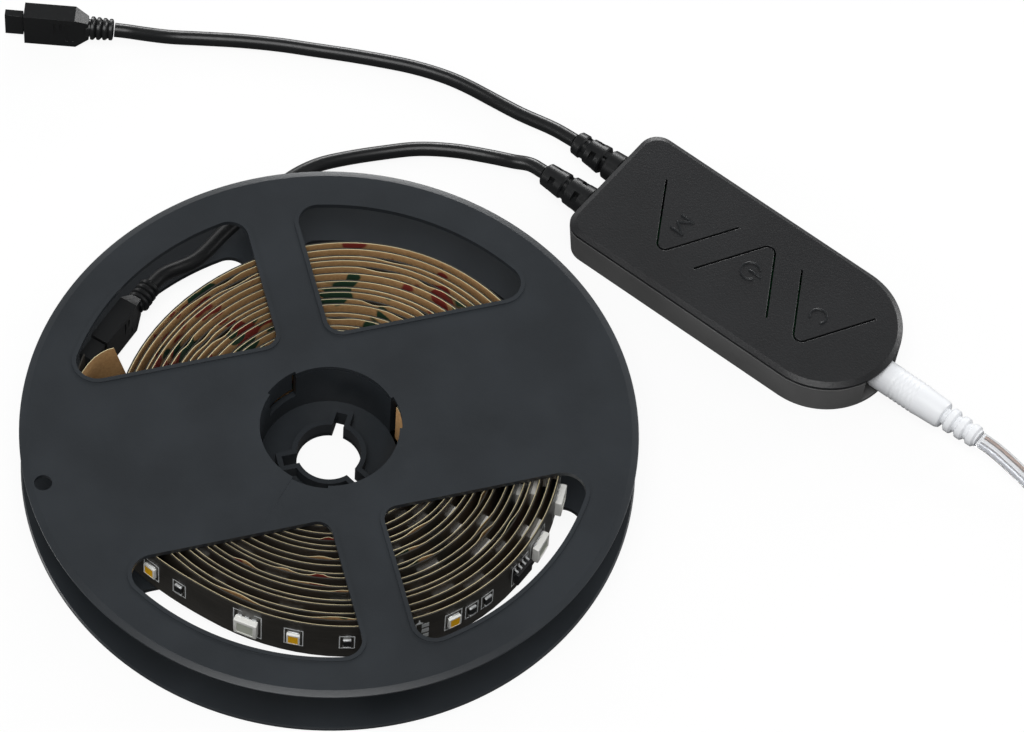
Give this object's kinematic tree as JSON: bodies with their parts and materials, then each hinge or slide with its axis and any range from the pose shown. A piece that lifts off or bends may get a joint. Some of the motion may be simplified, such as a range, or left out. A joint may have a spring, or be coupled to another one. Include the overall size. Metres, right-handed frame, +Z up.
{
  "type": "LED strip light reel",
  "caption": "Black plastic reel of colour light strip with an in-line three-button controller, a free output lead and a white barrel power plug.",
  "frame": {"origin": "middle of the bounding box of the reel and controller, at the level of the surface they lie on", "axes": "+Z up along the reel's axis, X and Y along the reel's two pairs of spokes, the controller on the +X side"},
  "size_m": [0.3168, 0.2293, 0.0153],
  "materials": {
    "reel_plastic": "fine satin moulding",
    "cover_plastic": "spark-textured moulding",
    "base_plastic": "smooth satin moulding",
    "lead_plastic": "soft black PVC",
    "strip_board": "black solder mask on a flexible board",
    "led_clear": "white body under clear resin",
    "led_warm": "yellow phosphor resin",
    "chip_black": "moulded epoxy",
    "board_green": "green solder mask",
    "capacitor_sleeve": "shrunk sleeve",
    "contact_metal": "nickel plate",
    "white_pvc": "white moulded PVC",
    "cord_clear": "clear PVC over stranded copper"
  },
  "bodies": {
    "root": {"reel_lower": "reel_plastic", "reel_upper": "reel_plastic", "led_strip": "strip_board", "led_rgb_1": "led_clear", "led_rgb_2": "led_clear", "led_rgb_3": "led_clear", "led_white_1": "led_warm", "led_white_2": "led_warm", "led_white_3": "led_warm", "resistor_1": "chip_black", "resistor_2": "chip_black", "resistor_3": "chip_black", "resistor_4": "chip_black", "driver_chip": "chip_black", "strip_socket": "lead_plastic", "reel_plug_body": "lead_plastic", "reel_plug_tip": "lead_plastic", "spare_plug_body": "lead_plastic", "spare_plug_tip": "lead_plastic", "controller_base": "base_plastic", "controller_cover": "cover_plastic", "reel_lead_gland": "lead_plastic", "spare_lead_gland": "lead_plastic", "circuit_board": "board_green", "tact_switch_1": "chip_black", "tact_switch_2": "chip_black", "tact_switch_3": "chip_black", "control_chip": "chip_black", "radio_chip": "chip_black", "capacitor": "capacitor_sleeve", "output_transistor_1": "chip_black", "output_transistor_2": "chip_black", "output_transistor_3": "chip_black", "output_transistor_4": "chip_black", "power_jack": "chip_black", "jack_pin": "contact_metal", "dc_plug_barrel": "contact_metal", "dc_plug_body": "white_pvc", "reel_lead": "lead_plastic", "spare_lead": "lead_plastic", "power_cord": "cord_clear", "power_cord_coil": "cord_clear", "coil_tie": "white_pvc", "power_cord_tail": "cord_clear", "power_socket": "white_pvc"},
    "button_mode": {"button_mode": "cover_plastic"},
    "button_power": {"button_power": "cover_plastic"},
    "button_colour": {"button_colour": "cover_plastic"}
  },
  "joints": [
    {"name": "button_mode_press", "type": "hinge", "parent": "root", "child": "button_mode", "pos_m": [0.06191, 0.03903, 0.00935], "axis": [0.6039, -0.7971, 0], "range_deg": [0, 2], "stiffness_Nm_per_rad": 0.01, "springref_deg": -1.72},
    {"name": "button_power_press", "type": "hinge", "parent": "root", "child": "button_power", "pos_m": [0.0613, 0.01533, 0.00935], "axis": [-0.6039, 0.7971, 0], "range_deg": [0, 2], "stiffness_Nm_per_rad": 0.01, "springref_deg": -1.72},
    {"name": "button_colour_press", "type": "hinge", "parent": "root", "child": "button_colour", "pos_m": [0.0841, 0.00974, 0.00935], "axis": [0.6039, -0.7971, 0], "range_deg": [0, 2], "stiffness_Nm_per_rad": 0.01, "springref_deg": -1.72}
  ]
}
